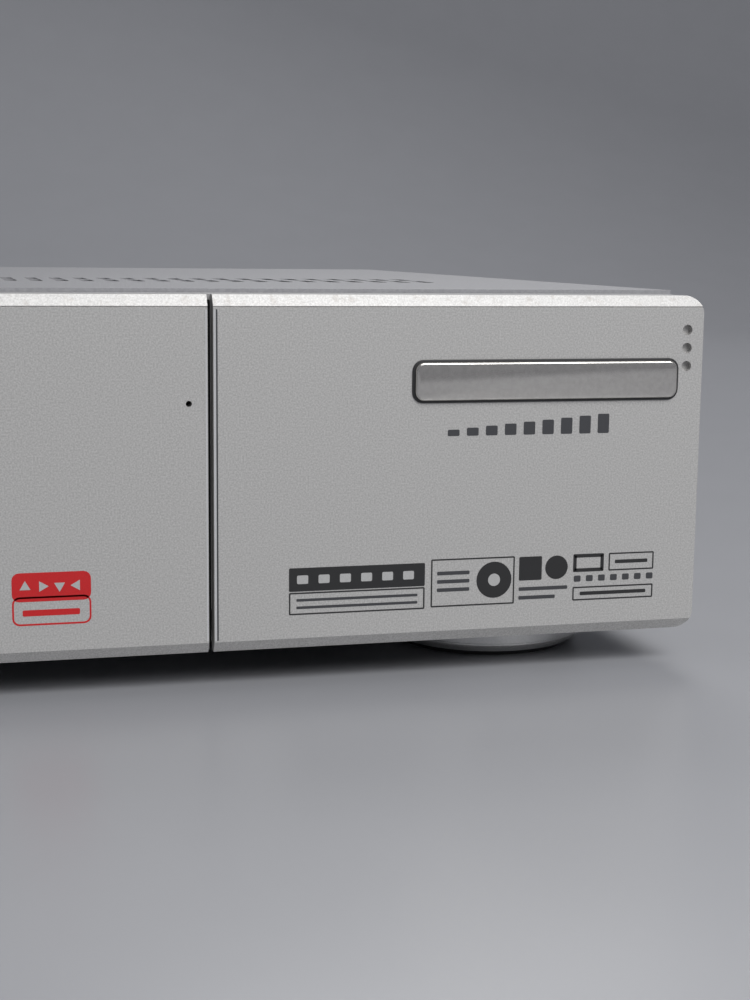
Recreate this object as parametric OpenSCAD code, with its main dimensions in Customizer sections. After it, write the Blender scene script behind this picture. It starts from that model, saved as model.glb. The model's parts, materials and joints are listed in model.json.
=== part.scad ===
// Satellite television receiver, full width, with a flip-down card door.
// X runs to the right of the front, Y into the cabinet, Z up; the origin is on the table, mid box.

/* [Cabinet] */
// Overall width of the front
cab_w = 340; // [320:1:420]
// Depth from the front face to the rear panel
cab_d = 250; // [240:1:320]
// Height of the front plates
fascia_h = 65; // [65:1:80]
// Gap between the table and the front plates
foot_h = 7; // [7:0.5:12]
// Thickness of the front plates
plate_t = 3; // [3:0.1:4]
// Height of the top and bottom bevels of the front
bevel_h = 2; // [1:0.1:3]
// Depth of those bevels
bevel_d = 1.2; // [0.6:0.1:2]
// Corner radius at the ends of the front
corner_r = 3.5; // [2:0.1:5]
// Depth of the moulded bezel with its land
land_d = 12; // [11.8:0.1:16]

/* [Door] */
// Width of the flip-down door
door_w = 94.8; // [94:0.1:110]
// Gap between the door and the long plate
door_gap = 1; // [0.6:0.1:1.5]
// Radius of the steel hinge pins
pin_r = 1; // [0.8:0.05:1.1]
// Radial clearance of the hinge pins
pin_clear = 0.05; // [0.02:0.01:0.1]
// Height of the raised nameplate bar
badge_h = 7; // [5:0.5:9]
// Length of the raised nameplate bar
badge_w = 52; // [30:0.5:60]
// Thickness of the nameplate
badge_t = 1; // [0.6:0.1:1.4]

/* [Top cover] */
// Thickness of the steel cover
cover_t = 0.8; // [0.6:0.1:1.2]
// Step of the cover above the bezel land
cover_step = 0.7; // [0.5:0.1:1]
// Width of a vent slot
vent_w = 2.6; // [1.5:0.1:3.5]
// Length of a vent slot
vent_l = 14; // [8:1:18]
// Pitch of the vent slots
vent_pitch = 5.4; // [5:0.1:6]
// Slots in one row of a field
vent_n = 22; // [10:1:24]

/* [Feet] */
// Radius of a foot
foot_r = 20.5; // [15:0.5:24]
// Thickness of the rubber pad
pad_t = 1.2; // [0.8:0.1:2]

/* [Front controls] */
// Radius of the standby button
standby_r = 6.5; // [4:0.5:8]
// Width of a small button
key_w = 11; // [8:0.5:13]
// Height of a small button
key_h = 5; // [4:0.5:6]
// Travel of a button
key_travel = 0.3; // [0.2:0.05:0.35]
// Width of the display window
lens_w = 90; // [70:1:100]
// Height of the display window
lens_h = 22; // [20:1:24]

/* [Card slots] */
// Width of a module slot
slot_w = 55; // [54.4:0.1:56]
// Height of a module slot
slot_h = 6; // [5.4:0.1:6.4]
// Distance between the two module slots
slot_pitch = 12; // [11:0.5:13]
// Depth of the module cage
cage_d = 90; // [80:1:100]

/* [Boards] */
// Height of the board pillars
pillar_h = 8; // [6:0.5:10]
// Thickness of a circuit board
board_t = 1.6; // [1.2:0.1:2]

/* [Hidden] */
$fn = 48;

rear_proud = 9;          // reach of the screw-on aerial connectors behind the panel
total_d = badge_t + cab_d + rear_proud;
yf = -total_d / 2 + badge_t;      // front face
yb = yf + cab_d;                  // outer face of the rear panel
xr = cab_w / 2;
zb = foot_h;
zt = foot_h + fascia_h;
zc = zb + bevel_h;                // lower crease of the front
fit = 0.3;                        // clearance round what moves
seat = 0.2;                       // clearance between parts that are fixed
sheet = 1;                        // chassis sheet
wall = 2.5;                       // moulded wall

door_x0 = xr - door_w;
plate_x1 = door_x0 - door_gap;
pivot_y = yf + plate_t + 2.5;
pivot_z = zb + 3.5;
knuckle_r = 2.2;
ear_in = 5;                       // from the door's end to an ear
ear_w = 3;
recess_y = yf + 9;                // front of the wall behind the door
swing_back = 4.2;                 // room behind the pivot for the door's lower edge
spigot_y = yf + land_d + 4;
tray_y = spigot_y + seat;
tray_z = zb + 2;
floor_z = tray_z + sheet;
side_x = xr - 1.5;                // outer side of the cover
inner_x = side_x - cover_t - seat;
roof_z = zt + cover_step - cover_t - seat;
flange_h = 14;
board_z = floor_z + pillar_h;
top_z = board_z + board_t;        // upper face of the boards
panel_y = yb - sheet;             // inner face of the rear panel

cage_w = slot_w + 9;
cage_x = door_x0 + door_w / 2;
cage_y = recess_y + wall + fit;
cage_wall = 1.2;
slot_z = [top_z + 7, top_z + 7 + slot_pitch];
cage_h = 14 + slot_pitch;
reader_z = top_z + cage_h;
reader_h = 7;
socket_d = 10;
eject_x = cage_x + cage_w / 2 + 6.4;
eject_cap = [6, 3.5, 4.4];        // width, standing out, height
eject_travel = 5;
latch_x = xr - 9.5;
latch_z = zt - 10;
latch_r = 2.5;
strike_t = 0.6;
dot_r = 1;
dot_deep = 1.2;
dot_pitch = 3.46;
dot_x = xr - 3.3;
dot_z = zc + 49.6;
badge_x = xr - 31.5;
badge_z = zc + 47.2;
groove = 0.35;
pinhole_x = xr - 99.2;
pinhole_z = zc + 43.7;
pinhole_r = 0.55;

board_y = yf + 12;                // face of the front board
lens_x = -60;
lens_z = zb + 36;
lens_t = 2;
standby_x = -142;
standby_z = lens_z;
key_z = zb + 15;
key_x = [for (i = [0:5]) lens_x - 40 + 16 * i];
key_proud = 0.9;
key_flange = 1;
stem_r = 1.6;
switch_d = 3.5;
front_board_x = [-xr + 10, plate_x1 - 2];
reset_x = plate_x1 - 5;           // switch behind the pinhole, clear of the bezel's end wall
front_board_z = [zb + 7, zt - 6];
front_fix = [for (x = [front_board_x[0] + 5, front_board_x[1] - 9], z = [front_board_z[0] + 5, front_board_z[1] - 5]) [x, z]];

main_x = [-65, xr - 7.5];
main_y = [yf + 22, panel_y - 1];
supply_x = [-xr + 10, -75];
supply_y = [yf + 50, panel_y - 30];
fix_in = 5;
main_fix = [for (x = [main_x[0] + fix_in, main_x[1] - fix_in], y = [main_y[0] + fix_in, main_y[1] - 70]) [x, y]];
supply_fix = [for (x = [supply_x[0] + fix_in, supply_x[1] - fix_in], y = [supply_y[0] + fix_in, supply_y[1] - fix_in]) [x, y]];
screw_r = 1.2;
head_r = 2.6;

foot_x = xr - 33;
foot_y = [yf + 31, yb - 31];
foot_screw_r = 1.5;
cover_screw_y = [yf + 60, yb - 30];
cover_screw_z = tray_z + 8;
panel_screw_x = [-120, 0, 120];
panel_flange = 9;

aerial_z = top_z + 13;
aerial_r = 4.7;
tuner_x = -38;
tuner_pitch = 22;
rf_x = 6;
rf_pitch = 16;
serial_x = 42;
scart_x = 88;
scart_z = [top_z + 10, top_z + 30];
rca_x = [127, 141, 155];
rca_z = top_z + 10;
rca_h = 20;
optical_x = rca_x[1];
inlet_x = -142;
inlet_z = zb + 26;
switch_x = -106;
switch_z = inlet_z;
rocker_tilt = 8;
rocker_y = yb - 2;
vent_y = [yf + 66, yf + 84];
vent_x1 = xr - 35;

// Boxes and outlines ----------------------------------------------------
module box(a, b) {
    translate(a) cube(b - a);
}

module round_rect(x0, x1, z0, z1, r) {
    square_x = x1 - x0;
    square_z = z1 - z0;
    translate([x0 + r, z0]) square([square_x - 2 * r, square_z]);
    translate([x0, z0 + r]) square([square_x, square_z - 2 * r]);
    for (x = [x0 + r, x1 - r], z = [z0 + r, z1 - r])
        translate([x, z]) circle(r);
}

// Pushes an outline drawn in X and Z back from y0 to y1.
module front_block(y0, y1) {
    translate([0, y1, 0]) rotate([90, 0, 0]) linear_extrude(y1 - y0) children();
}

module rod_y(x, z, y0, y1, r) {
    translate([x, y0, z]) rotate([-90, 0, 0]) cylinder(h = y1 - y0, r = r);
}

module rod_x(x0, x1, y, z, r) {
    translate([x0, y, z]) rotate([0, 90, 0]) cylinder(h = x1 - x0, r = r);
}

module slot_shape(x, y, w, l) {
    translate([x - w / 2, y + w / 2]) square([w, l - w]);
    for (end = [w / 2, l - w / 2])
        translate([x, y + end]) circle(w / 2, $fn = 20);
}

// Front -------------------------------------------------------------------
// One bevelled front plate with its fine groove under the upper bevel.
module bevelled_plate(x0, x1) {
    crease = fascia_h - bevel_h;
    translate([x0, yf, zb]) rotate([90, 0, 90]) linear_extrude(x1 - x0) polygon([
        [bevel_d, 0], [plate_t, 0], [plate_t, fascia_h], [bevel_d, fascia_h], [0, crease],
        [groove * 0.6, crease - groove / 2], [0, crease - groove], [0, bevel_h]]);
}

module fascia_plate() {
    color("silver") difference() {
        intersection() {
            bevelled_plate(-xr, plate_x1);
            front_block(yf, yf + plate_t) round_rect(-xr, xr, zb, zt, corner_r);
        }
        front_block(yf - 1, yf + plate_t + 1)
            round_rect(lens_x - lens_w / 2, lens_x + lens_w / 2, lens_z - lens_h / 2, lens_z + lens_h / 2, 2);
        rod_y(standby_x, standby_z, yf - 1, yf + plate_t + 1, standby_r + fit);
        for (x = key_x)
            front_block(yf - 1, yf + plate_t + 1) key_outline(x, fit);
        rod_y(pinhole_x, pinhole_z, yf - 1, yf + plate_t + 1, pinhole_r);
    }
}

module key_outline(x, grow) {
    round_rect(x - key_w / 2 - grow, x + key_w / 2 + grow, key_z - key_h / 2 - grow, key_z + key_h / 2 + grow, 1.2);
}

module door() {
    color("silver") difference() {
        union() {
            intersection() {
                bevelled_plate(door_x0, xr);
                front_block(yf, yf + plate_t) round_rect(-xr, xr, zb, zt, corner_r);
            }
            for (x = [door_x0 + ear_in, xr - ear_in - ear_w]) {
                rod_x(x, x + ear_w, pivot_y, pivot_z, knuckle_r);
                box([x, yf + plate_t, pivot_z - knuckle_r], [x + ear_w, pivot_y, pivot_z + knuckle_r]);
            }
        }
        rod_x(door_x0 + ear_in - 1, door_x0 + ear_in + ear_w + 1, pivot_y, pivot_z, pin_r + pin_clear);
        rod_x(xr - ear_in - ear_w - 1, xr - ear_in + 1, pivot_y, pivot_z, pin_r + pin_clear);
        for (i = [0:2])
            rod_y(dot_x, dot_z + i * dot_pitch, yf - 1, yf + dot_deep, dot_r);
    }
}

module hinge_pins() {
    color("lightgray") {
        rod_x(door_x0 + ear_in - 3.5, door_x0 + ear_in + ear_w, pivot_y, pivot_z, pin_r);
        rod_x(xr - ear_in - ear_w, xr - ear_in + 3.5, pivot_y, pivot_z, pin_r);
    }
}

module strike_plate() {
    color("gray") rod_y(latch_x, latch_z, yf + plate_t, yf + plate_t + strike_t, 4);
}

module name_badge() {
    color("gainsboro") front_block(yf - badge_t, yf)
        round_rect(badge_x - badge_w / 2, badge_x + badge_w / 2, badge_z - badge_h / 2, badge_z + badge_h / 2, 2);
}

module display_window() {
    color([0.08, 0.08, 0.1]) front_block(yf + 0.3, yf + 0.3 + lens_t)
        round_rect(lens_x - lens_w / 2 + 0.1, lens_x + lens_w / 2 - 0.1,
            lens_z - lens_h / 2 + 0.1, lens_z + lens_h / 2 - 0.1, 1.9);
}

module bezel_shell() {
    difference() {
        union() {
            front_block(yf + plate_t, yf + land_d) round_rect(-xr, xr, zb, zt, corner_r);
            front_block(yf + land_d, spigot_y) round_rect(-inner_x, inner_x, tray_z + fit, roof_z, corner_r - 1);
        }
        box([-inner_x + wall, yf + plate_t + wall, floor_z + wall - 1], [door_x0 - wall, spigot_y + 1, roof_z - wall]);
        box([door_x0, yf + plate_t - 1, floor_z + wall - 1], [xr - wall, recess_y, zt - wall]);
        box([door_x0, recess_y + wall, floor_z + wall - 1], [inner_x - wall, spigot_y + 1, roof_z - wall]);
    }
}

module front_bezel() {
    lug_x = [door_x0 + ear_in - 3.5, xr - ear_in + 0.5];
    color("dimgray") difference() {
        union() {
            difference() {
                bezel_shell();
                // room for the lower edge of the door as it swings
                box([door_x0 - 0.5, yf, 0], [xr + 1, pivot_y + swing_back, pivot_z - knuckle_r - 0.1]);
                box([door_x0 - 0.5, yf, 0], [xr + 1, recess_y, pivot_z + 4]);
            }
            for (x = lug_x) {
                rod_x(x, x + 3, pivot_y, pivot_z, knuckle_r);
                box([x, pivot_y, pivot_z - knuckle_r], [x + 3, yf + land_d, pivot_z + knuckle_r]);
            }
            for (p = front_fix) rod_y(p[0], p[1], yf + plate_t + wall, board_y, 3);
        }
        for (x = lug_x) rod_x(x - 1, x + 4, pivot_y, pivot_z, pin_r);
        for (p = front_fix) rod_y(p[0], p[1], yf + plate_t + wall + 1, board_y + 1, screw_r);
        bezel_openings();
    }
}

module bezel_openings() {
    front_block(yf, board_y)
        round_rect(lens_x - lens_w / 2 + 2, lens_x + lens_w / 2 - 2, lens_z - lens_h / 2 + 2, lens_z + lens_h / 2 - 2, 1);
    rod_y(standby_x, standby_z, yf, board_y, standby_r + fit);
    for (x = key_x)
        front_block(yf, board_y) key_outline(x, fit);
    rod_y(pinhole_x, pinhole_z, yf, board_y, pinhole_r);
    for (z = slot_z) {
        box([cage_x - slot_w / 2 - 0.5, recess_y - 1, z - slot_h / 2 - fit],
            [cage_x + slot_w / 2 + 0.5, recess_y + wall + 1, z + slot_h / 2 + fit]);
        box([eject_x - eject_cap[0] / 2 - fit, recess_y - 1, z - eject_cap[2] / 2 - fit],
            [eject_x + eject_cap[0] / 2 + fit, recess_y + wall + 1, z + eject_cap[2] / 2 + fit]);
    }
    box([cage_x - slot_w / 2, recess_y - 1, reader_z + 2], [cage_x + slot_w / 2, recess_y + wall + 1, reader_z + 5]);
    rod_y(latch_x, latch_z, recess_y - 1, recess_y + wall + 1, latch_r + fit);
}

// Buttons and the front board ----------------------------------------------
module stem(x, z) {
    rod_y(x, z, yf + plate_t + wall + 0.2 + key_flange, board_y - switch_d - key_travel - 0.1, stem_r);
}

module key(x) {
    color("silver") {
        front_block(yf - key_proud, yf + plate_t + wall + 0.2) key_outline(x, 0);
        front_block(yf + plate_t + wall + 0.2, yf + plate_t + wall + 0.2 + key_flange) key_outline(x, 1);
        stem(x, key_z);
    }
}

module menu_button() { key(key_x[0]); }
module ok_button() { key(key_x[1]); }
module channel_down_button() { key(key_x[2]); }
module channel_up_button() { key(key_x[3]); }
module volume_down_button() { key(key_x[4]); }
module volume_up_button() { key(key_x[5]); }

module standby_button() {
    color("silver") {
        rod_y(standby_x, standby_z, yf - key_proud, yf + plate_t + wall + 0.2, standby_r);
        rod_y(standby_x, standby_z, yf + plate_t + wall + 0.2, yf + plate_t + wall + 0.2 + key_flange, standby_r + 1.3);
        stem(standby_x, standby_z);
    }
}

module front_board() {
    color("darkgreen") difference() {
        box([front_board_x[0], board_y, front_board_z[0]], [front_board_x[1], board_y + board_t, front_board_z[1]]);
        for (p = front_fix) rod_y(p[0], p[1], board_y - 1, board_y + board_t + 1, screw_r + seat);
    }
}

module tact_switch(x, z) {
    box([x - 3, board_y - switch_d, z - 3], [x + 3, board_y, z + 3]);
}

module tact_switches() {
    color("black") {
        for (x = key_x) tact_switch(x, key_z);
        tact_switch(standby_x, standby_z);
        tact_switch(reset_x, pinhole_z);
    }
}

module display_module() {
    color("black") box([lens_x - 25, board_y - 6, lens_z - 8], [lens_x + 25, board_y, lens_z + 8]);
    color("gray") box([lens_x + 31, board_y - 5, lens_z - 3.5], [lens_x + 38, board_y, lens_z + 3.5]);
}

// Door latch, card slots -----------------------------------------------------
module latch_body() {
    color("black") difference() {
        rod_y(latch_x, latch_z, recess_y + wall, recess_y + wall + 12, 4);
        rod_y(latch_x, latch_z, recess_y + wall - 1, recess_y + wall + 10, latch_r + fit);
    }
}

module latch_plunger() {
    color("black") rod_y(latch_x, latch_z, yf + plate_t + strike_t + fit, recess_y + wall + 7, latch_r);
}

module ci_cage() {
    color("silver") difference() {
        box([cage_x - cage_w / 2, cage_y, top_z], [cage_x + cage_w / 2, cage_y + cage_d, top_z + cage_h]);
        for (z = slot_z)
            box([cage_x - slot_w / 2, cage_y - 1, z - slot_h / 2],
                [cage_x + slot_w / 2, cage_y + cage_d + 1, z + slot_h / 2]);
        box([cage_x - slot_w / 2, cage_y - 1, slot_z[0] + slot_h / 2 + cage_wall],
            [cage_x + slot_w / 2, cage_y + cage_d + 1, slot_z[1] - slot_h / 2 - cage_wall]);
    }
}

module ci_sockets() {
    color("ivory") for (z = slot_z)
        box([cage_x - slot_w / 2 + seat, cage_y + cage_d - socket_d, z - slot_h / 2 + seat],
            [cage_x + slot_w / 2 - seat, cage_y + cage_d, z + slot_h / 2 - seat]);
}

module eject_button(z) {
    color("dimgray") {
        box([eject_x - eject_cap[0] / 2, recess_y - eject_cap[1], z - eject_cap[2] / 2],
            [eject_x + eject_cap[0] / 2, recess_y + wall + 1, z + eject_cap[2] / 2]);
        box([eject_x - 3.7, recess_y + wall + 1, z - 3.2], [eject_x + 3.7, recess_y + wall + 2.5, z + 3.2]);
        box([eject_x - 1.5, recess_y + wall + 2.5, z - 1.5], [eject_x + 1.5, cage_y + 50, z + 1.5]);
    }
}

module eject_button_lower() { eject_button(slot_z[0]); }
module eject_button_upper() { eject_button(slot_z[1]); }

module card_reader() {
    color("black") difference() {
        box([cage_x - 31, cage_y, reader_z], [cage_x + 31, cage_y + 65, reader_z + reader_h]);
        box([cage_x - slot_w / 2, cage_y - 1, reader_z + 2.8], [cage_x + slot_w / 2, cage_y + 60, reader_z + 4.2]);
    }
}

// Cabinet ------------------------------------------------------------------
module chassis_tray() {
    color("lightgray") difference() {
        union() {
            box([-inner_x, tray_y, tray_z], [inner_x, yb, floor_z]);
            for (x = [-inner_x, inner_x - sheet])
                box([x, tray_y, tray_z], [x + sheet, panel_y - seat, tray_z + flange_h]);
            box([-inner_x, tray_y, tray_z], [inner_x, tray_y + sheet, floor_z + 7]);
        }
        for (x = [-foot_x, foot_x], y = foot_y)
            translate([x, y, 0]) cylinder(h = zt, r = foot_screw_r + seat);
        for (x = panel_screw_x)
            translate([x, panel_y - panel_flange / 2, 0]) cylinder(h = zt, r = screw_r);
        for (y = cover_screw_y)
            rod_x(-xr, xr, y, cover_screw_z, foot_screw_r);
    }
}

module rear_panel() {
    color("lightgray") difference() {
        union() {
            box([-inner_x, panel_y, floor_z], [inner_x, yb, roof_z]);
            for (x = panel_screw_x)
                box([x - 6, panel_y - panel_flange, floor_z], [x + 6, panel_y, floor_z + sheet]);
        }
        for (x = panel_screw_x)
            translate([x, panel_y - panel_flange / 2, 0]) cylinder(h = zt, r = screw_r + seat);
        for (s = [-1, 1]) rod_y(tuner_x + s * tuner_pitch / 2, aerial_z, panel_y - 1, yb + 1, aerial_r + seat);
        for (s = [-1, 1]) rod_y(rf_x + s * rf_pitch / 2, aerial_z, panel_y - 1, yb + 1, aerial_r + seat);
        for (x = rca_x) rod_y(x, rca_z, panel_y - 1, yb + 1, 5.5 + seat);
        cut_out(serial_x, aerial_z, 19, 10.5);
        for (z = scart_z) cut_out(scart_x, z, 52, 15);
        cut_out(optical_x, rca_z + 17, 10, 10);
        cut_out(inlet_x, inlet_z, 24, 17);
        cut_out(switch_x, switch_z, 20, 14);
        for (i = [0:8])
            box([-72 + 3 * i * 5, panel_y - 1, zt - 12], [-64 + 3 * i * 5, yb + 1, zt - 10]);
    }
}

module cut_out(x, z, w, h) {
    box([x - w / 2 - seat, panel_y - 1, z - h / 2 - seat], [x + w / 2 + seat, yb + 1, z + h / 2 + seat]);
}

module top_cover() {
    y0 = yf + land_d + seat;
    color("silver") difference() {
        union() {
            translate([0, 0, zt + cover_step - cover_t]) linear_extrude(cover_t) difference() {
                translate([-side_x, y0]) square([2 * side_x, yb - y0]);
                for (side = [-1, 1], i = [0:vent_n - 1], y = vent_y)
                    slot_shape(side * (vent_x1 - i * vent_pitch), y, vent_w, vent_l);
            }
            for (x = [-side_x, side_x - cover_t])
                box([x, y0, tray_z + 0.5], [x + cover_t, yb, zt + cover_step - cover_t]);
        }
        for (y = cover_screw_y)
            rod_x(-xr, xr, y, cover_screw_z, foot_screw_r + seat);
        for (i = [0:9])
            box([-xr, yf + 70 + i * 8, zt - 20], [xr, yf + 73 + i * 8, zt - 8]);
    }
}

module cover_screws() {
    color("dimgray") for (s = [0, 1], y = cover_screw_y) mirror([s, 0, 0]) {
        rod_x(side_x - 5, side_x, y, cover_screw_z, foot_screw_r);
        difference() {
            rod_x(side_x, side_x + 1.4, y, cover_screw_z, 3.2);
            box([side_x + 0.7, y - 2, cover_screw_z - 0.4], [xr, y + 2, cover_screw_z + 0.4]);
            box([side_x + 0.7, y - 0.4, cover_screw_z - 2], [xr, y + 0.4, cover_screw_z + 2]);
        }
    }
}

module panel_screws() {
    color("lightgray") for (x = panel_screw_x) translate([x, panel_y - panel_flange / 2, 0]) {
        translate([0, 0, tray_z]) cylinder(h = 2 * sheet, r = screw_r);
        translate([0, 0, floor_z + sheet]) cylinder(h = 1.6, r = head_r);
    }
}

module feet() {
    lip = 0.4;
    boss_r = foot_r - 3;              // clear of the bezel's lower edge
    color("silver") for (x = [-foot_x, foot_x], y = foot_y) translate([x, y, 0]) difference() {
        rotate_extrude($fn = 64) polygon([[0, pad_t], [foot_r - 1.2, pad_t], [foot_r, pad_t + 1.1],
            [foot_r - lip, pad_t + 1.3], [foot_r - lip, pad_t + 1.6], [foot_r, pad_t + 1.8],
            [foot_r, zb - fit - 0.6], [foot_r - 0.6, zb - fit], [boss_r, zb - fit], [boss_r, tray_z], [0, tray_z]]);
        translate([0, 0, pad_t + 2]) cylinder(h = zt, r = foot_screw_r);
    }
}

module foot_pads() {
    color("black") for (x = [-foot_x, foot_x], y = foot_y)
        translate([x, y, 0]) cylinder(h = pad_t, r = foot_r - 3);
}

module foot_screws() {
    color("lightgray") for (x = [-foot_x, foot_x], y = foot_y) translate([x, y, 0]) {
        translate([0, 0, pad_t + 2.5]) cylinder(h = floor_z - pad_t - 2.5, r = foot_screw_r);
        translate([0, 0, floor_z]) cylinder(h = 2, r = 3);
    }
}

// Boards -------------------------------------------------------------------
module board(xs, ys, holes) {
    color("green") difference() {
        box([xs[0], ys[0], board_z], [xs[1], ys[1], top_z]);
        for (p = holes) translate([p[0], p[1], board_z - 1]) cylinder(h = board_t + 2, r = screw_r + seat);
    }
}

module main_board() { board(main_x, main_y, main_fix); }
module supply_board() { board(supply_x, supply_y, supply_fix); }

module standoffs() {
    color("gold") for (p = concat(main_fix, supply_fix)) translate([p[0], p[1], floor_z]) difference() {
        cylinder(h = pillar_h, r = 3);
        cylinder(h = pillar_h + 1, r = screw_r);
    }
}

module board_screws() {
    color("lightgray") {
        for (p = concat(main_fix, supply_fix)) translate([p[0], p[1], 0]) {
            translate([0, 0, board_z - 5]) cylinder(h = board_t + 5, r = screw_r);
            translate([0, 0, top_z]) cylinder(h = 1.8, r = head_r);
        }
        for (p = front_fix) {
            rod_y(p[0], p[1], board_y - 4, board_y + board_t, screw_r);
            rod_y(p[0], p[1], board_y + board_t, board_y + board_t + 1.8, head_r);
        }
    }
}

module tuner() {
    color("lightgray") difference() {
        union() {
            box([tuner_x - 22, panel_y - 62, top_z], [tuner_x + 22, panel_y - seat, top_z + 24]);
            for (s = [-1, 1]) rod_y(tuner_x + s * tuner_pitch / 2, aerial_z, panel_y - seat, yb + rear_proud, aerial_r);
        }
        for (s = [-1, 1]) rod_y(tuner_x + s * tuner_pitch / 2, aerial_z, yb + 3, yb + rear_proud + 1, 0.6);
    }
}

module connector_nuts() {
    color("lightgray") for (s = [-1, 1]) difference() {
        translate([tuner_x + s * tuner_pitch / 2, yb, aerial_z]) rotate([-90, 0, 0]) cylinder(h = 2, r = 7, $fn = 6);
        rod_y(tuner_x + s * tuner_pitch / 2, aerial_z, yb - 1, yb + 3, aerial_r + 0.05);
    }
}

module rf_modulator() {
    color("lightgray") difference() {
        union() {
            box([rf_x - 18, panel_y - 50, top_z], [rf_x + 18, panel_y - seat, top_z + 24]);
            for (s = [-1, 1]) rod_y(rf_x + s * rf_pitch / 2, aerial_z, panel_y - seat, yb + 8, aerial_r);
        }
        for (s = [-1, 1]) rod_y(rf_x + s * rf_pitch / 2, aerial_z, yb - 1, yb + 9, 1.6);
    }
}

module serial_port() {
    color("lightgray") {
        box([serial_x - 15.5, panel_y - 14, top_z], [serial_x + 15.5, panel_y - seat, aerial_z + 6]);
        front_block(panel_y - seat, yb + 5) polygon([for (p = [[-9, 4.5], [9, 4.5], [7.5, -4.5], [-7.5, -4.5]])
            [serial_x + p[0], aerial_z + p[1]]]);
    }
}

// Outline of a twenty-one way audio-video socket, one lower corner cut away.
module av_outline(x, z, w, h) {
    polygon([[x - w / 2, z + h / 2], [x + w / 2, z + h / 2], [x + w / 2, z - h / 2 + 5],
        [x + w / 2 - 5, z - h / 2], [x - w / 2, z - h / 2]]);
}

module scart_sockets() {
    color([0.1, 0.1, 0.1]) difference() {
        union() {
            box([scart_x - 29, panel_y - 26, top_z], [scart_x + 29, panel_y - seat, scart_z[1] + 9]);
            for (z = scart_z) box([scart_x - 26, panel_y - seat, z - 7.5], [scart_x + 26, yb + 1, z + 7.5]);
        }
        for (z = scart_z) front_block(yb - 10, yb + 2) av_outline(scart_x, z, 47, 12);
    }
}

module rca_jacks() {
    color([0.15, 0.15, 0.15]) difference() {
        union() {
            box([rca_x[0] - 7, panel_y - 12, top_z], [rca_x[2] + 7, panel_y - seat, top_z + rca_h]);
            for (x = rca_x) {
                rod_y(x, rca_z, panel_y - seat, yb + 1, 5.5);
                rod_y(x, rca_z, yb + 1, yb + 8, 4.15);
            }
        }
        for (x = rca_x) rod_y(x, rca_z, yb - 1, yb + 9, 1.6);
    }
}

module optical_port() {
    color("black") {
        box([optical_x - 6, panel_y - 12, top_z + rca_h], [optical_x + 6, panel_y - seat, rca_z + 23]);
        box([optical_x - 5, panel_y - seat, rca_z + 12], [optical_x + 5, yb + 1, rca_z + 22]);
    }
}

module board_chips() {
    color("black") {
        box([-5, yf + 90, top_z], [26, yf + 121, top_z + 2.5]);
        for (i = [0:2]) box([36, yf + 80 + 14 * i, top_z], [58, yf + 90 + 14 * i, top_z + 1.2]);
        box([-35, yf + 60, top_z], [-15, yf + 80, top_z + 2.2]);
        box([62, yf + 150, top_z], [74, yf + 170, top_z + 2]);
    }
}

module decoder_heatsink() {
    color("black") {
        box([-6, yf + 89, top_z + 2.5], [27, yf + 122, top_z + 4.5]);
        for (i = [0:6]) box([-6 + 5.2 * i, yf + 89, top_z + 4.5], [-4.2 + 5.2 * i, yf + 122, top_z + 14]);
    }
}

module can(x, y, r, h) {
    translate([x, y, top_z]) cylinder(h = h, r = r);
}

module board_capacitors() {
    color("navy") {
        for (i = [0:4]) can(-55, yf + 50 + 14 * i, 4, 12);
        for (i = [0:3]) can(40 + 10 * i, yf + 185, 3.2, 8);
        for (i = [0:2]) can(30 + 12 * i, yf + 60, 3.2, 8);
    }
}

module transformer() {
    tx = -110;
    ty = yf + 115;
    color("goldenrod") {
        box([tx - 13, ty - 16, top_z], [tx + 13, ty + 16, top_z + 5]);
        box([tx - 10, ty - 13, top_z + 5], [tx + 10, ty + 13, top_z + 20]);
        box([tx - 16, ty - 8, top_z + 20], [tx + 16, ty + 8, top_z + 26]);
    }
}

module supply_capacitors() {
    color("black") {
        can(-145, yf + 150, 11, 32);
        for (i = [0:3]) can(-84, yf + 70 + 15 * i, 5, 20);
    }
}

module supply_heatsink() {
    color("silver") {
        box([-150, yf + 80, top_z], [-147, yf + 125, top_z + 34]);
        box([-147, yf + 94, top_z + 10], [-142.5, yf + 104, top_z + 26]);
        for (z = [6:6:30]) box([-155, yf + 80, top_z + z], [-150, yf + 125, top_z + z + 1.4]);
    }
}

module mains_inlet() {
    color("black") difference() {
        union() {
            box([inlet_x - 12, yb - 18, inlet_z - 8.5], [inlet_x + 12, yb, inlet_z + 8.5]);
            front_block(yb, yb + 1.6) round_rect(inlet_x - 15, inlet_x + 15, inlet_z - 10.5, inlet_z + 10.5, 2);
        }
        front_block(yb - 12, yb + 3) {
            translate([inlet_x - 4.3, inlet_z - 4.6]) square([8.6, 9.2]);
            for (s = [-1, 1]) translate([inlet_x + s * 4.3, inlet_z]) circle(4.6);
        }
    }
}

module inlet_pins() {
    color("gold") for (s = [-1, 1]) rod_y(inlet_x + s * 4.3, inlet_z, yb - 12, yb - 1, 1.15);
}

module switch_housing() {
    color("black") difference() {
        union() {
            box([switch_x - 10, yb - 16, switch_z - 7], [switch_x + 10, yb, switch_z + 7]);
            front_block(yb, yb + 1.6) round_rect(switch_x - 12, switch_x + 12, switch_z - 8.5, switch_z + 8.5, 1.5);
        }
        box([switch_x - 8.6, yb - 9, switch_z - 5.5], [switch_x + 8.6, yb + 3, switch_z + 5.5]);
        translate([switch_x, rocker_y, switch_z - 6.4]) cylinder(h = 12.8, r = pin_r + pin_clear);
    }
}

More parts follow.
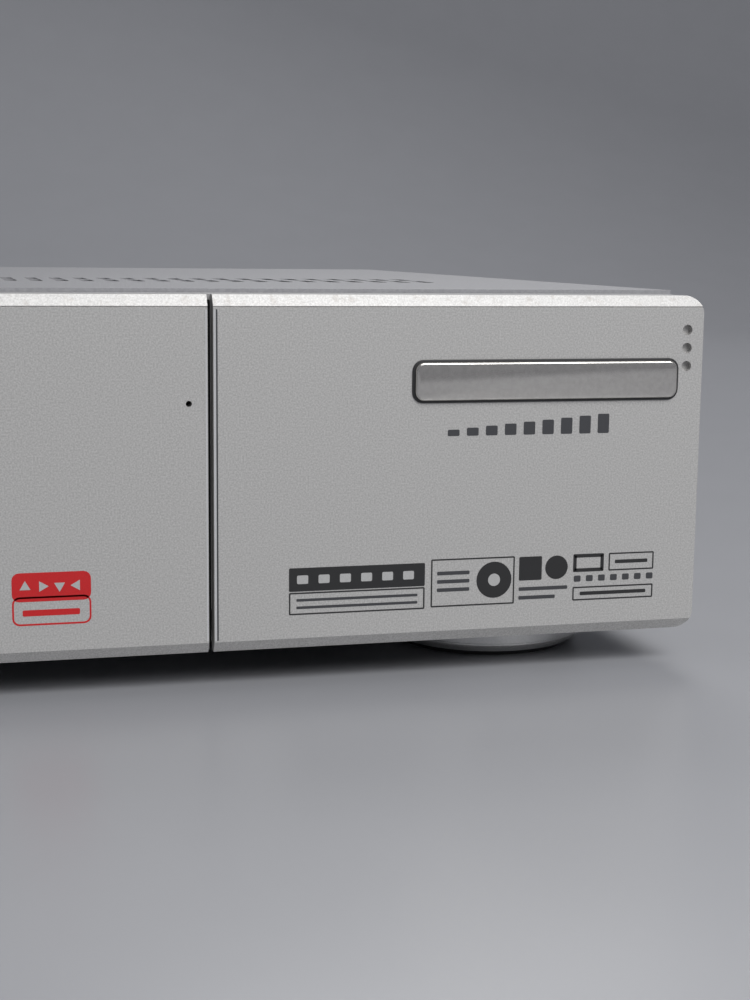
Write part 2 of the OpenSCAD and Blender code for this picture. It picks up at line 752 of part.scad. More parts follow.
module switch_rocker() {
    color("darkred") translate([switch_x, rocker_y, switch_z]) rotate([0, 0, -rocker_tilt]) {
        translate([0, 0, -5.2]) linear_extrude(10.4) intersection() {
            circle(8.2);
            polygon([[-9, -3], [9, -3], [9, 5], [0, 2.8], [-9, 5]]);
        }
        translate([0, 0, -6.2]) cylinder(h = 12.4, r = pin_r);
    }
}

// Cables -------------------------------------------------------------------
module front_cable() {
    cx = -20;
    fz = top_z + 5;
    color("whitesmoke") {
        box([cx - 12, board_y + board_t, fz], [cx + 12, board_y + board_t + 4, fz + 6]);
        box([cx - 10, board_y + board_t + 4, fz + 3], [cx + 10, yf + 38, fz + 3.6]);
        box([cx - 10, yf + 37.4, fz], [cx + 10, yf + 38, fz + 3]);
        box([cx - 12, yf + 35.4, top_z], [cx + 12, yf + 40, fz]);
    }
}

module supply_cable() {
    sy = yf + 100;
    color("whitesmoke") {
        box([-81, sy + 52, top_z], [-76, sy + 70, top_z + 7]);
        box([-64, sy + 52, top_z], [-59, sy + 70, top_z + 7]);
        for (i = [0:5]) rod_x(-76, -64, sy + 55 + 2.4 * i, top_z + 4, 0.8);
    }
}

module mains_wires() {
    color("saddlebrown") for (s = [-1, 1]) {
        rod_y(inlet_x + 5 * s, inlet_z - 4, yb - 40, yb - 18, 1.1);
        translate([inlet_x + 5 * s, yb - 40, inlet_z - 4]) sphere(1.1);
        translate([inlet_x + 5 * s, yb - 40, top_z]) cylinder(h = inlet_z - 4 - top_z, r = 1.1);
    }
}

chassis_tray();
rear_panel();
top_cover();
front_bezel();
fascia_plate();
door();
hinge_pins();
strike_plate();
name_badge();
display_window();
front_board();
tact_switches();
display_module();
standby_button();
menu_button();
ok_button();
channel_down_button();
channel_up_button();
volume_down_button();
volume_up_button();
latch_body();
latch_plunger();
ci_cage();
ci_sockets();
eject_button_lower();
eject_button_upper();
card_reader();
main_board();
tuner();
connector_nuts();
rf_modulator();
serial_port();
scart_sockets();
rca_jacks();
optical_port();
decoder_heatsink();
board_chips();
board_capacitors();
supply_board();
transformer();
supply_capacitors();
supply_heatsink();
mains_inlet();
inlet_pins();
switch_housing();
switch_rocker();
standoffs();
board_screws();
panel_screws();
cover_screws();
feet();
foot_pads();
foot_screws();
front_cable();
supply_cable();
mains_wires();
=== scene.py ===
import json
import math

import bpy
from mathutils import Matrix, Vector


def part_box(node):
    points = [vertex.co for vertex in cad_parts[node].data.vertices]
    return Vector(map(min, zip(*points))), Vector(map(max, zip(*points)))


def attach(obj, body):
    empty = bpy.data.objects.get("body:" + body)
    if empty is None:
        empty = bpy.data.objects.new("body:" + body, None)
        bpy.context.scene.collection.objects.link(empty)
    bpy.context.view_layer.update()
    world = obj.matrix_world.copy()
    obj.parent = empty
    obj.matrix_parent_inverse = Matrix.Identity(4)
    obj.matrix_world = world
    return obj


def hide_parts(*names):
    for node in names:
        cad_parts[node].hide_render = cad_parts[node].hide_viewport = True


mm = 0.001

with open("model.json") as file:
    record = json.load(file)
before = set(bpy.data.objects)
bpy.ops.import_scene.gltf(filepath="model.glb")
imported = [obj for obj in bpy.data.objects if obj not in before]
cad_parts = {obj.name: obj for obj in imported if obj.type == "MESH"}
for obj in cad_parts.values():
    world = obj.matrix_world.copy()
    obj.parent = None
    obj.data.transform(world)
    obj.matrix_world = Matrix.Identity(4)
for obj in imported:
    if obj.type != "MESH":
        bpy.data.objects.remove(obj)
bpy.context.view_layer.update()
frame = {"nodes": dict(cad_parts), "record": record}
nodes = frame["nodes"]
print("stage: frame loaded,", len(nodes), "nodes")


# Small helpers used by every piece.

def selectOnly(piece):
    bpy.ops.object.select_all(action="DESELECT")
    piece.select_set(True)
    bpy.context.view_layer.objects.active = piece


def placeInMesh(piece):
    selectOnly(piece)
    bpy.ops.object.transform_apply(location=True, rotation=True, scale=True)


def startEditing(piece):
    selectOnly(piece)
    bpy.ops.object.mode_set(mode="EDIT")
    bpy.ops.mesh.select_all(action="SELECT")


def closeShell():
    bpy.ops.mesh.select_all(action="SELECT")
    bpy.ops.mesh.normals_make_consistent(inside=False)
    bpy.ops.object.mode_set(mode="OBJECT")


def wearMaterial(piece, material):
    if not piece.material_slots:
        piece.data.materials.append(material)
    for materialSlot in piece.material_slots:
        materialSlot.material = material


# Materials, with one function for colours and one that adds a node.

def hexToLinear(hexColor):
    channels = [int(hexColor[i:i + 2], 16) / 255 for i in (1, 3, 5)]
    linear = [c / 12.92 if c <= 0.04045 else ((c + 0.055) / 1.055) ** 2.4 for c in channels]
    return (*linear, 1)


def addNode(tree, kind, settings, links):
    node = tree.nodes.new(kind)
    for key, value in settings.items():
        if isinstance(key, int) or key in node.inputs:
            node.inputs[key].default_value = value
        else:
            setattr(node, key, value)
    for key, socket in links.items():
        tree.links.new(socket, node.inputs[key])
    return node


def shade(color, amount):
    return (*[min(1, c * amount) for c in color[:3]], 1)


# where the noise turns from the dark to the light shade, its detail, and how strongly it dents
grainSpread = {"dark": 0.32, "light": 0.68, "detail": 2.0, "dents": 0.35}
usualIor = 1.5


# Every finish has a fine grain: its size in mm, how far it shades the colour and how deep it is.
def makeFinish(name, look):
    material = bpy.data.materials.new(name)
    material.use_nodes = True
    tree = material.node_tree
    shader = tree.nodes["Principled BSDF"]
    shader.inputs["Metallic"].default_value = look["metallic"]
    shader.inputs["Roughness"].default_value = look["roughness"]
    if look["metallic"] < 1:
        shader.inputs["IOR"].default_value = look.get("ior", usualIor)
    if "coat" in look:
        shader.inputs["Coat Weight"].default_value = look["coat"]
    place = addNode(tree, "ShaderNodeTexCoord", {}, {})
    grain = addNode(tree, "ShaderNodeTexNoise",
                    {"Scale": 1 / (look["grain"] * mm), "Detail": grainSpread["detail"]},
                    {"Vector": place.outputs["Object"]})
    color = hexToLinear(look["color"])
    tint = addNode(tree, "ShaderNodeValToRGB", {}, {0: grain.outputs[0]})
    darkEnd, lightEnd = tint.color_ramp.elements
    darkEnd.position = grainSpread["dark"]
    darkEnd.color = shade(color, 1 - look["shading"])
    lightEnd.position = grainSpread["light"]
    lightEnd.color = shade(color, 1 + look["shading"])
    tree.links.new(tint.outputs[0], shader.inputs["Base Color"])
    relief = addNode(tree, "ShaderNodeBump",
                     {"Strength": grainSpread["dents"], "Distance": look["relief"] * mm},
                     {"Height": grain.outputs[0]})
    tree.links.new(relief.outputs[0], shader.inputs["Normal"])
    return material, tree, shader, place, tint


# Brown blots along the upper crease: partly handling dirt, partly painted shade that dims the lit top
# bevel.
def addCreaseDirtAndShade(tree, shader, place, tint):
    # heights and blot size in mm; thin and thick are the noise levels where a blot starts and is full
    dirtAndShade = {"color": "#6e5a45", "from": 69.4, "to": 70.8, "blot": 1.8, "strength": 0.22,
            "detail": 4.0, "thin": 0.56, "thick": 0.7}
    height = addNode(tree, "ShaderNodeSeparateXYZ", {}, {0: place.outputs["Object"]})
    band = addNode(tree, "ShaderNodeMapRange",
                   {"From Min": dirtAndShade["from"] * mm, "From Max": dirtAndShade["to"] * mm, "To Max": dirtAndShade["strength"]},
                   {"Value": height.outputs["Z"]})
    blots = addNode(tree, "ShaderNodeTexNoise",
                    {"Scale": 1 / (dirtAndShade["blot"] * mm), "Detail": dirtAndShade["detail"]},
                    {"Vector": place.outputs["Object"]})
    patches = addNode(tree, "ShaderNodeMapRange", {"From Min": dirtAndShade["thin"], "From Max": dirtAndShade["thick"]},
                      {"Value": blots.outputs[0]})
    amount = addNode(tree, "ShaderNodeMath", {"operation": "MULTIPLY"},
                     {0: band.outputs[0], 1: patches.outputs[0]})
    # 6 and 7 are the Mix node's two colour sockets
    mixed = addNode(tree, "ShaderNodeMix", {"data_type": "RGBA", 7: hexToLinear(dirtAndShade["color"])},
                    {0: amount.outputs[0], 6: tint.outputs[0]})
    tree.links.new(mixed.outputs[2], shader.inputs["Base Color"])


# The key is the material slot in the record; the name is what the real thing is made of.
finishes = {
    # metal flake under clear lacquer: a soft sheen with a fine speckle, drawn coarse enough to show
    "silver_paint": {"name": "metallicSilverPaintOnAbs", "color": "#b9b8b6", "metallic": 0.3,
                     "roughness": 0.4, "grain": 0.3, "shading": 0.16, "relief": 0.004, "ior": 1.46},
    # flake mixed into the plastic: the same silver, duller and flatter than paint
    "bezel_plastic": {"name": "metallicSilverAbsMoulding", "color": "#a2a2a2", "metallic": 0.25,
                      "roughness": 0.45, "grain": 0.35, "shading": 0.1, "relief": 0.004},
    # powder coat: matt, with a slight orange peel
    "cover_paint": {"name": "greyPowderCoatedSteel", "color": "#97979a", "metallic": 0.1, "roughness": 0.5,
                    "grain": 0.6, "shading": 0.08, "relief": 0.02},
    # zinc: cool grey, blurred highlights
    "zinc_steel": {"name": "zincPlatedSteelSheet", "color": "#aeb2b4", "metallic": 1, "roughness": 0.38,
                   "grain": 3.0, "shading": 0.06, "relief": 0.003},
    # turned and washed: tight, clear highlights
    "bright_steel": {"name": "brightTurnedSteel", "color": "#c4c5c6", "metallic": 1, "roughness": 0.22,
                     "grain": 0.5, "shading": 0.04, "relief": 0.002},
    # black zinc: dark, with a faint metal glint
    "dark_screw": {"name": "blackZincScrewSteel", "color": "#3b3b3d", "metallic": 1, "roughness": 0.35,
                   "grain": 0.5, "shading": 0.05, "relief": 0.002},
    # polished plate: near mirror, warm grey
    "badge_metal": {"name": "polishedChromedZincAlloy", "color": "#d2cfca", "metallic": 1,
                    "roughness": 0.16, "grain": 0.8, "shading": 0.05, "relief": 0.002},
    # tinted acrylic: nearly black, with a hard mirror gloss
    "smoked_lens": {"name": "smokedAcrylicSheet", "color": "#101014", "metallic": 0, "roughness": 0.06,
                    "grain": 5.0, "shading": 0.03, "relief": 0.001, "ior": 1.49, "coat": 0.4},
    # spark-eroded mould: an even, fine matt
    "black_plastic": {"name": "mouldedBlackNylon", "color": "#1d1d1e", "metallic": 0, "roughness": 0.5,
                      "grain": 0.4, "shading": 0.08, "relief": 0.01},
    # the same fine matt in mid grey, a little smoother
    "grey_plastic": {"name": "mouldedGreyAbs", "color": "#55555a", "metallic": 0, "roughness": 0.45,
                     "grain": 0.4, "shading": 0.06, "relief": 0.01},
    # polished mould: deep red with a clear gloss
    "red_plastic": {"name": "translucentRedRockerPlastic", "color": "#8c1410", "metallic": 0,
                    "roughness": 0.25, "grain": 0.6, "shading": 0.05, "relief": 0.004},
    # undyed nylon: warm white and slightly waxy
    "ivory_plastic": {"name": "ivoryConnectorNylon", "color": "#ded9c6", "metallic": 0, "roughness": 0.45,
                      "grain": 0.5, "shading": 0.04, "relief": 0.006},
    # solder mask: glossy green lacquer over glass cloth weave
    "green_board": {"name": "greenSolderMaskOnGlassEpoxy", "color": "#1f5a36", "metallic": 0,
                    "roughness": 0.25, "grain": 1.2, "shading": 0.12, "relief": 0.01},
    # pressed paper and resin: brown, faintly flecked, half matt
    "brown_board": {"name": "phenolicPaperBoard", "color": "#8a6540", "metallic": 0, "roughness": 0.5,
                    "grain": 0.8, "shading": 0.08, "relief": 0.008},
    # anodised: black with a soft metal sheen
    "black_alloy": {"name": "blackAnodisedAluminium", "color": "#2a2a2c", "metallic": 1, "roughness": 0.45,
                    "grain": 0.4, "shading": 0.06, "relief": 0.005},
    # as extruded: bright grey with blurred highlights
    "bare_alloy": {"name": "extrudedBareAluminium", "color": "#bcbdbf", "metallic": 1, "roughness": 0.35,
                   "grain": 0.6, "shading": 0.06, "relief": 0.005},
    # shrunk film: smooth and glossy
    "capacitor_sleeve": {"name": "shrunkBlueBlackSleeve", "color": "#1c2440", "metallic": 0,
                         "roughness": 0.3, "grain": 1.0, "shading": 0.06, "relief": 0.004},
    # stretched film: strong yellow with a light gloss
    "winding_tape": {"name": "yellowPolyesterTape", "color": "#c79a2c", "metallic": 0, "roughness": 0.35,
                     "grain": 1.0, "shading": 0.06, "relief": 0.006},
    # turned bar: warm yellow metal with clear highlights
    "brass": {"name": "turnedBrass", "color": "#c9a15a", "metallic": 1, "roughness": 0.28,
              "grain": 0.5, "shading": 0.05, "relief": 0.002},
    # vacuum coating on plastic: satin silver
    "foot_finish": {"name": "vacuumCoatedSilverAbs", "color": "#d0d0cf", "metallic": 0.6, "roughness": 0.26,
                    "grain": 0.5, "shading": 0.05, "relief": 0.003},
    # cut from sheet: black, dry and without gloss
    "pad_rubber": {"name": "blackRubberPad", "color": "#1b1b1b", "metallic": 0, "roughness": 0.8,
                   "grain": 0.5, "shading": 0.1, "relief": 0.03},
    # extruded sleeve: brown, smooth, half gloss
    "wire_sleeve": {"name": "brownPvcWireSleeve", "color": "#5a3820", "metallic": 0, "roughness": 0.4,
                    "grain": 1.0, "shading": 0.05, "relief": 0.004},
}

materials = {}
for slotName, look in finishes.items():
    material, tree, shader, place, tint = makeFinish(look["name"], look)
    if slotName == "silver_paint":
        # the silver paint carries the crease blots: brown dirt and painted shade together
        addCreaseDirtAndShade(tree, shader, place, tint)
    materials[slotName] = material

for subpart in frame["record"]["subparts"]:
    wearMaterial(nodes[subpart["node"]], materials[subpart["material_slot"]])

# Inks and small coloured parts that have no slot of their own; all share one faint grain.
inks = {
    # screen inks: flat and dark, with little gloss
    "black": {"name": "blackScreenInk", "color": "#242425", "metallic": 0, "roughness": 0.45},
    "grey": {"name": "darkGreyScreenInk", "color": "#3c3d40", "metallic": 0, "roughness": 0.45},
    # label vinyl: bright red with a light gloss; the red jack's ring wears it too
    "red": {"name": "redGlossLabelVinyl", "color": "#c01f22", "metallic": 0, "roughness": 0.3},
    # silver left bare inside a printed field: pale and flat
    "pale": {"name": "silverReversedInk", "color": "#b7b7b6", "metallic": 0.2, "roughness": 0.4},
    # painted highlight: a bright line where a panel edge catches the light
    "edge": {"name": "paintedEdgeHighlight", "color": "#d6d6d6", "metallic": 0.5, "roughness": 0.3},
    # dyed nylon: an even colour, half gloss
    "white": {"name": "whiteJackNylon", "color": "#dedede", "metallic": 0, "roughness": 0.4},
    # painted shadow: flat black with no gloss, for the shade inside the gap
    "shadow": {"name": "paintedShadowBlack", "color": "#0c0c0c", "metallic": 0, "roughness": 0.95},
    # dyed nylon, as the white
    "yellow": {"name": "yellowJackNylon", "color": "#d9b21c", "metallic": 0, "roughness": 0.4},
}
for inkName, look in inks.items():
    look.update({"grain": 0.3, "shading": 0.05, "relief": 0.002})
    materials[inkName] = makeFinish(look["name"], look)[0]
print("stage: materials made")


# Flat shapes printed or stuck on a front face; sizes in mm. A corner is rounded by a quarter of the
# patch's side at most.
inkDepth = 0.03
doorFace = -129.0
keyFace = -129.9
roundingShare = 0.25


# sides 4 gives a rounded patch, 3 a triangle and more a disc; a border leaves the middle open
def printPatch(left, right, bottom, top, ink, faceY=doorFace, sides=4, border=0, turn=0, layer=0,
               rounding=0.25):
    middle = Vector(((left + right) / 2, faceY - layer * inkDepth, (bottom + top) / 2)) * mm
    bpy.ops.object.select_all(action="DESELECT")
    if sides == 4:
        bpy.ops.mesh.primitive_plane_add(size=1, location=middle, rotation=(math.pi / 2, 0, 0))
    else:
        bpy.ops.mesh.primitive_circle_add(vertices=sides, radius=0.5, fill_type="NGON",
                                          location=middle, rotation=(math.pi / 2, math.radians(turn), 0))
    patch = bpy.context.object
    if sides == 3:
        # a turned triangle is stretched along the front, not along its own turned sides
        placeInMesh(patch)
        startEditing(patch)
        bpy.ops.transform.resize(value=((right - left) * mm, 1, (top - bottom) * mm),
                                 center_override=middle)
        bpy.ops.object.mode_set(mode="OBJECT")
    else:
        patch.scale = ((right - left) * mm, (top - bottom) * mm, 1)
        placeInMesh(patch)
    startEditing(patch)
    if sides == 4:
        corner = min(rounding, (right - left) * roundingShare, (top - bottom) * roundingShare)
        bpy.ops.mesh.bevel(offset=corner * mm, segments=4, affect="VERTICES")
        bpy.ops.mesh.select_all(action="SELECT")
    if border:
        bpy.ops.mesh.inset(thickness=border * mm, depth=0)
        bpy.ops.mesh.delete(type="FACE")
        bpy.ops.mesh.select_all(action="SELECT")
    bpy.ops.mesh.extrude_region_move(TRANSFORM_OT_translate={"value": (0, -inkDepth * mm, 0)})
    closeShell()
    wearMaterial(patch, materials[ink])
    return patch


def joinPatches(name, patches, body):
    selectOnly(patches[0])
    for patch in patches:
        patch.select_set(True)
    if len(patches) > 1:
        bpy.ops.object.join()
    piece = bpy.context.object
    piece.name = name
    piece.data.name = name
    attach(piece, body)


# Each mark lists its patches from its own lower left corner: left, right, bottom, top, ink, extras.
def printMark(name, body, corner, shapes, faceY=doorFace):
    x, z = corner
    patches = []
    for left, right, bottom, top, ink, *extras in shapes:
        options = extras[0] if extras else {}
        patches.append(printPatch(x + left, x + right, z + bottom, z + top, ink, faceY, **options))
    joinPatches(name, patches, body)


# Nameplate: a blank polished bar on a black base; smoothBelow is in degrees.
nameplate = {"left": 112.5, "right": 164.5, "bottom": 52.7, "top": 59.7, "thick": 0.95, "edge": 0.35,
             "corner": 1.6, "baseThick": 0.3, "baseMargin": 0.5, "baseEdge": 0.12, "smoothBelow": 35}
levelWithin = 1e-6  # in metres; an edge whose ends differ by more in depth runs front to back
facesFront = -0.9  # a face whose normal's Y is below this looks to the front


def makePlate(name, left, right, bottom, top, back, front, corner, edge, material):
    bpy.ops.object.select_all(action="DESELECT")
    middle = Vector(((left + right) / 2, (back + front) / 2, (bottom + top) / 2)) * mm
    bpy.ops.mesh.primitive_cube_add(size=1, location=middle)
    plate = bpy.context.object
    plate.name = name
    plate.data.name = name
    plate.scale = ((right - left) * mm, (back - front) * mm, (top - bottom) * mm)
    placeInMesh(plate)
    bpy.ops.object.mode_set(mode="EDIT")
    bpy.ops.mesh.select_mode(type="EDGE")
    bpy.ops.mesh.select_all(action="DESELECT")
    bpy.ops.object.mode_set(mode="OBJECT")
    # the four corner edges run front to back
    for edgeLine in plate.data.edges:
        a, b = [plate.data.vertices[i].co for i in edgeLine.vertices]
        edgeLine.select = abs(a.y - b.y) > levelWithin
    bpy.ops.object.mode_set(mode="EDIT")
    bpy.ops.mesh.bevel(offset=corner * mm, segments=6, affect="EDGES")
    bpy.ops.mesh.select_mode(type="FACE")
    bpy.ops.mesh.select_all(action="DESELECT")
    bpy.ops.object.mode_set(mode="OBJECT")
    # the rim of the front face
    for face in plate.data.polygons:
        face.select = face.normal.y < facesFront
    bpy.ops.object.mode_set(mode="EDIT")
    bpy.ops.mesh.bevel(offset=edge * mm, segments=3, affect="EDGES")
    closeShell()
    bpy.ops.object.shade_smooth_by_angle(angle=math.radians(nameplate["smoothBelow"]))
    wearMaterial(plate, materials[material])
    return plate


baseFront = doorFace - nameplate["baseThick"]
badgeBar = makePlate("nameplateBar", nameplate["left"], nameplate["right"], nameplate["bottom"],
                     nameplate["top"], baseFront, doorFace - nameplate["thick"], nameplate["corner"],
                     nameplate["edge"], "badge_metal")
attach(badgeBar, "door")
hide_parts("name_badge")
margin = nameplate["baseMargin"]
badgeBase = makePlate("nameplateBase", nameplate["left"] - margin, nameplate["right"] + margin,
                      nameplate["bottom"] - margin, nameplate["top"] + margin, doorFace, baseFront,
                      nameplate["corner"] + margin, nameplate["baseEdge"], "black")
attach(badgeBase, "door")
print("stage: nameplate made")

# A row of bars that grow in height, as on a signal meter.
signalBars = {"left": 119.0, "bottom": 46.0, "count": 9, "pitch": 3.73, "width": 2.3,
              "low": 1.2, "high": 3.7}
barShapes = []
for i in range(signalBars["count"]):
    barLeft = i * signalBars["pitch"]
    tall = signalBars["low"] + (signalBars["high"] - signalBars["low"]) * i / (signalBars["count"] - 1)
    barShapes.append((barLeft, barLeft + signalBars["width"], 0, tall, "grey"))
printMark("signalBarsPrint", "door", (signalBars["left"], signalBars["bottom"]), barShapes)

# The row of four printed marks along the foot of the door.
thin = 0.28  # width of a printed frame's line
doorMarks = {
    "blockMarkPrint": {"corner": (89.0, 13.4), "shapes": [
        (0, 26, 4.4, 8.8, "black"), (0, 26, 0, 4.2, "black", {"border": thin}),
        (1.4, 24.6, 2.5, 3.0, "grey"), (1.4, 24.6, 1.1, 1.6, "grey")]
        + [(1.5 + 4.05 * i, 3.6 + 4.05 * i, 5.8, 7.4, "pale", {"layer": 1}) for i in range(6)]},
    "discMarkPrint": {"corner": (116.2, 13.6), "shapes": [
        (0, 16.6, 0, 9.2, "black", {"border": thin}), (1.2, 7.6, 2.9, 3.6, "grey"),
        (1.2, 7.6, 4.5, 5.2, "grey"), (1.2, 7.6, 6.1, 6.8, "grey"),
        (9, 16, 1.3, 8.3, "black", {"sides": 32}),
        (11.3, 13.7, 3.6, 6, "pale", {"sides": 24, "layer": 1})]},
    "squareAndDotMarkPrint": {"corner": (133.7, 14.0), "shapes": [
        (0, 4.6, 4.0, 8.6, "black"), (5.3, 9.9, 4.0, 8.6, "black", {"sides": 32}),
        (0, 9.9, 2.0, 2.7, "grey"), (0, 7.4, 0.3, 1.0, "grey")]},
    "frameMarkPrint": {"corner": (144.7, 13.6), "shapes": [
        (0, 6.3, 5.6, 9.1, "black", {"border": 0.7}), (7.3, 16.7, 5.6, 9.1, "black", {"border": thin}),
        (8.6, 15.4, 7, 7.7, "black"), (0, 16.7, 0, 2.7, "black", {"border": thin}),
        (1.5, 15.2, 1, 1.7, "black")]
        + [(0.2 + 2.5 * i, 1.6 + 2.5 * i, 3.7, 4.9, "grey") for i in range(7)]},
}
for markName, mark in doorMarks.items():
    printMark(markName, "door", mark["corner"], mark["shapes"])

# Red badge on the long plate, with four plain arrows.
redBadge = {"corner": (39.3, 13.8), "wide": 13.8, "tall": 9.5, "band": 4.3, "overlap": 0.9,
            "rounding": 1.3, "line": 0.32}
rounded = {"rounding": redBadge["rounding"]}
arrows = [(1.2 + 3 * i, 3.4 + 3 * i, 5.9, 8.1, "pale", {"sides": 3, "turn": 90 * i, "layer": 1})
          for i in range(4)]
printMark("redBadgePrint", "cabinet", redBadge["corner"], [
    (0, redBadge["wide"], redBadge["band"], redBadge["tall"], "red", rounded),
    (0, redBadge["wide"], 0, redBadge["band"] + redBadge["overlap"], "red",
     {"border": redBadge["line"], **rounded}),
    (1.8, 11.8, 1.7, 2.8, "red")] + arrows)
print("stage: front prints made")

# Painted highlights where the panel edges catch the light, and a painted shade line beside the gap.
panelEdges = {"low": 9.3, "high": 69.4, "door": 75.25, "doorBright": 0.42, "doorDark": 0.72,
              "plate": 73.8, "plateBright": 0.34}
edgeHeight = panelEdges["high"] - panelEdges["low"]
# the door's edge: a bright painted highlight strip, then a grey strip of painted shade
printMark("doorEdgeHighlightAndShade", "door", (panelEdges["door"], panelEdges["low"]),
          [(0, panelEdges["doorBright"], 0, edgeHeight, "edge"),
           (panelEdges["doorBright"], panelEdges["doorDark"], 0, edgeHeight, "grey")])
# the plate's edge: a bright painted highlight strip
printMark("plateEdgeHighlight", "cabinet", (panelEdges["plate"], panelEdges["low"]),
          [(0, panelEdges["plateBright"], 0, edgeHeight, "edge")])

# Painted shadow: a black strip at the back of the gap, standing in for the shade there.
gapShadow = {"left": 74.25, "right": 75.1, "bottom": 8, "top": 71, "front": -126.0}
shadowPatch = printPatch(gapShadow["left"], gapShadow["right"], gapShadow["bottom"], gapShadow["top"], "shadow",
                       gapShadow["front"])
joinPatches("paintedGapShadowStrip", [shadowPatch], "cabinet")

# Signs on the keys and on the standby button, measured from the middle of each.
keySigns = {
    "menu_button": [(-1.8, 1.8, z, z + 0.4, "grey") for z in (-1.1, -0.2, 0.7)],
    "ok_button": [(-1.2, 1.2, -1.2, 1.2, "grey", {"sides": 24, "border": 0.35})],
    "channel_down_button": [(-1.5, 1.5, -1.2, 1.2, "grey", {"sides": 3, "turn": 180})],
    "channel_up_button": [(-1.5, 1.5, -1.2, 1.2, "grey", {"sides": 3, "turn": 0})],
    "volume_down_button": [(-1.5, 1.5, -0.22, 0.22, "grey")],
    "volume_up_button": [(-1.5, 1.5, -0.22, 0.22, "grey"), (-0.22, 0.22, -1.5, 1.5, "grey")],
    "standby_button": [(-2.6, 2.6, -2.6, 2.6, "grey", {"sides": 40, "border": 0.45}),
                       (-0.25, 0.25, 0.3, 3.4, "grey")],
}
for keyName, signShapes in keySigns.items():
    low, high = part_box(keyName)
    printMark(keyName + "Sign", keyName, ((low[0] + high[0]) / 2 / mm, (low[2] + high[2]) / 2 / mm),
              signShapes, keyFace)
print("stage: key signs made")

# Coloured rings round the phono jacks.
jackRings = {"centers": [127, 141, 155], "colors": ["white", "red", "yellow"], "z": 29.6, "y": 122.0,
             "ring": 4.85, "wire": 0.55, "flatten": 0.6}
for x, color in zip(jackRings["centers"], jackRings["colors"]):
    place = Vector((x, jackRings["y"], jackRings["z"])) * mm
    bpy.ops.object.select_all(action="DESELECT")
    bpy.ops.mesh.primitive_torus_add(location=place, rotation=(math.pi / 2, 0, 0), major_segments=40,
                                     minor_segments=10, major_radius=jackRings["ring"] * mm,
                                     minor_radius=jackRings["wire"] * mm)
    ring = bpy.context.object
    ring.name = color + "JackRing"
    ring.data.name = ring.name
    placeInMesh(ring)
    startEditing(ring)
    bpy.ops.transform.resize(value=(1, jackRings["flatten"], 1), center_override=place)
    closeShell()
    bpy.ops.object.shade_smooth()
    wearMaterial(ring, materials[color])
    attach(ring, "cabinet")
print("stage: jack rings made")

# Plain pale floor that turns up into a backdrop; sizes in metres. An end of an edge that is within
# near of the fold counts as on it.
studio = {"half": 3.0, "back": 1.9, "rise": 2.6, "curve": 0.9, "near": 0.01, "color": "#9d9ea2",
          "roughness": 0.32, "world": "#8f9095", "worldStrength": 0.9}
bpy.ops.object.select_all(action="DESELECT")
bpy.ops.mesh.primitive_plane_add(size=2, location=(0, studio["back"] - studio["half"], 0))
floor = bpy.context.object
floor.name = "studioFloor"
floor.scale = (studio["half"], studio["half"], 1)
placeInMesh(floor)
for part in (floor.data.vertices, floor.data.edges, floor.data.polygons):
    for item in part:
        item.select = False
foldLine = studio["back"] - studio["near"]
for edgeLine in floor.data.edges:
    edgeLine.select = all(floor.data.vertices[i].co.y > foldLine for i in edgeLine.vertices)
bpy.ops.object.mode_set(mode="EDIT")
bpy.ops.mesh.select_mode(type="EDGE")
bpy.ops.mesh.extrude_edges_move(TRANSFORM_OT_translate={"value": (0, 0, studio["rise"])})
bpy.ops.object.mode_set(mode="OBJECT")
for edgeLine in floor.data.edges:
    ends = [floor.data.vertices[i].co for i in edgeLine.vertices]
    edgeLine.select = all(end.y > foldLine and end.z < studio["near"] for end in ends)
bpy.ops.object.mode_set(mode="EDIT")
bpy.ops.mesh.bevel(offset=studio["curve"], segments=24, affect="EDGES")
bpy.ops.object.mode_set(mode="OBJECT")
bpy.ops.object.shade_smooth()
floorLook = {"color": studio["color"], "metallic": 0, "roughness": studio["roughness"], "grain": 40,
             "shading": 0.01, "relief": 0.001}
wearMaterial(floor, makeFinish("satinStudioPaper", floorLook)[0])

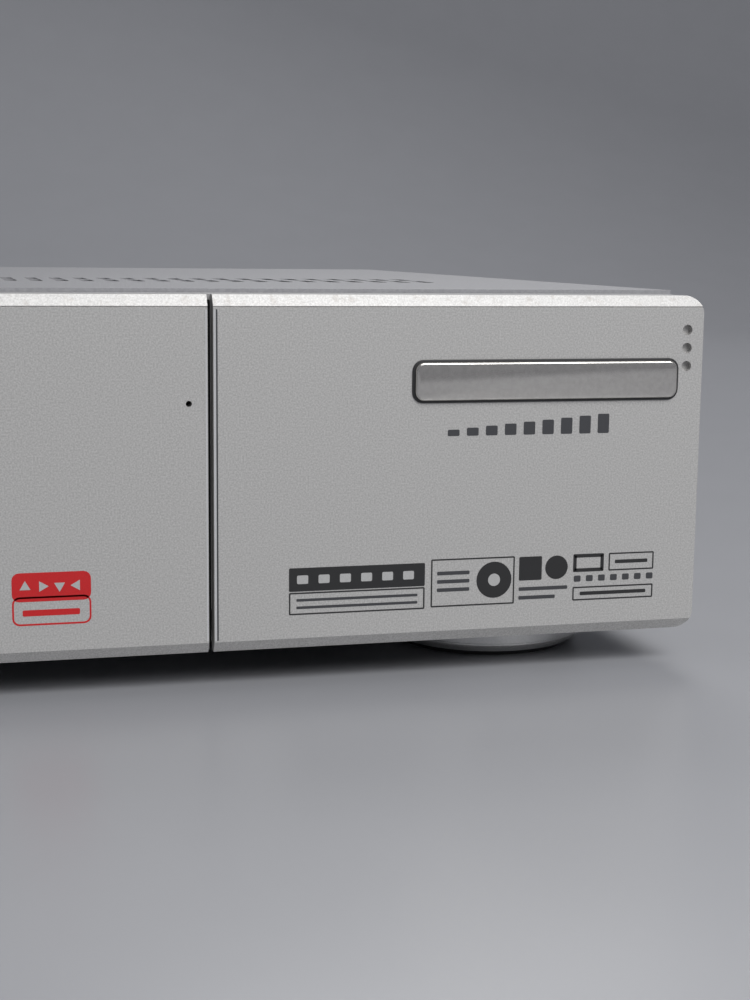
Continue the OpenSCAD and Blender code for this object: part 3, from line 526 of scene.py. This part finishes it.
world = bpy.data.worlds.new("studioRoom")
bpy.context.scene.world = world
world.use_nodes = True
background = world.node_tree.nodes["Background"]
background.inputs["Color"].default_value = hexToLinear(studio["world"])
background.inputs["Strength"].default_value = studio["worldStrength"]
print("stage: studio made")

# Soft lamps: where each stands, what it looks at, its size in metres and its power in watts.
lamps = {
    "keySoftbox": {"at": (0.55, -1.1, 0.95), "to": (0.1, -0.1, 0.04), "size": 0.8, "power": 12},
    "frontFill": {"at": (0.3, -1.9, 2.2), "to": (0.1, -0.1, 0.04), "size": 1.2, "power": 22},
    "backRim": {"at": (0.5, 1.0, 1.1), "to": (0, 0, 0.05), "size": 0.8, "power": 6},
}
for lampName, lamp in lamps.items():
    bpy.ops.object.light_add(type="AREA", location=lamp["at"])
    lampObject = bpy.context.object
    lampObject.name = lampName
    lampObject.data.size = lamp["size"]
    lampObject.data.energy = lamp["power"]
    aim = Vector(lamp["to"]) - Vector(lamp["at"])
    lampObject.rotation_euler = aim.to_track_quat("-Z", "Y").to_euler()

# Camera at the photograph's viewing angle: place and nearest in metres, angles in degrees, lens and
# sensor in mm.
cameraSet = {"at": (0.02871, -0.41566, 0.08095), "yaw": 14.934, "down": 8.913, "roll": 0.622,
             "lens": 58.57, "sensor": 36, "nearest": 0.01}
yaw, down, roll = [math.radians(cameraSet[key]) for key in ("yaw", "down", "roll")]
forward = Vector((math.sin(yaw) * math.cos(down), math.cos(yaw) * math.cos(down), -math.sin(down)))
right = forward.cross(Vector((0, 0, 1))).normalized()
up = right.cross(forward)
cameraX = right * math.cos(roll) + up * math.sin(roll)
cameraY = up * math.cos(roll) - right * math.sin(roll)
bpy.ops.object.camera_add(location=cameraSet["at"])
camera = bpy.context.object
camera.name = "photographCamera"
camera.rotation_euler = Matrix((cameraX, cameraY, -forward)).transposed().to_euler()
camera.data.lens = cameraSet["lens"]
camera.data.sensor_width = cameraSet["sensor"]
camera.data.clip_start = cameraSet["nearest"]
bpy.context.scene.camera = camera
bpy.context.scene.view_settings.view_transform = "Standard"
print("stage: lamps and camera placed")
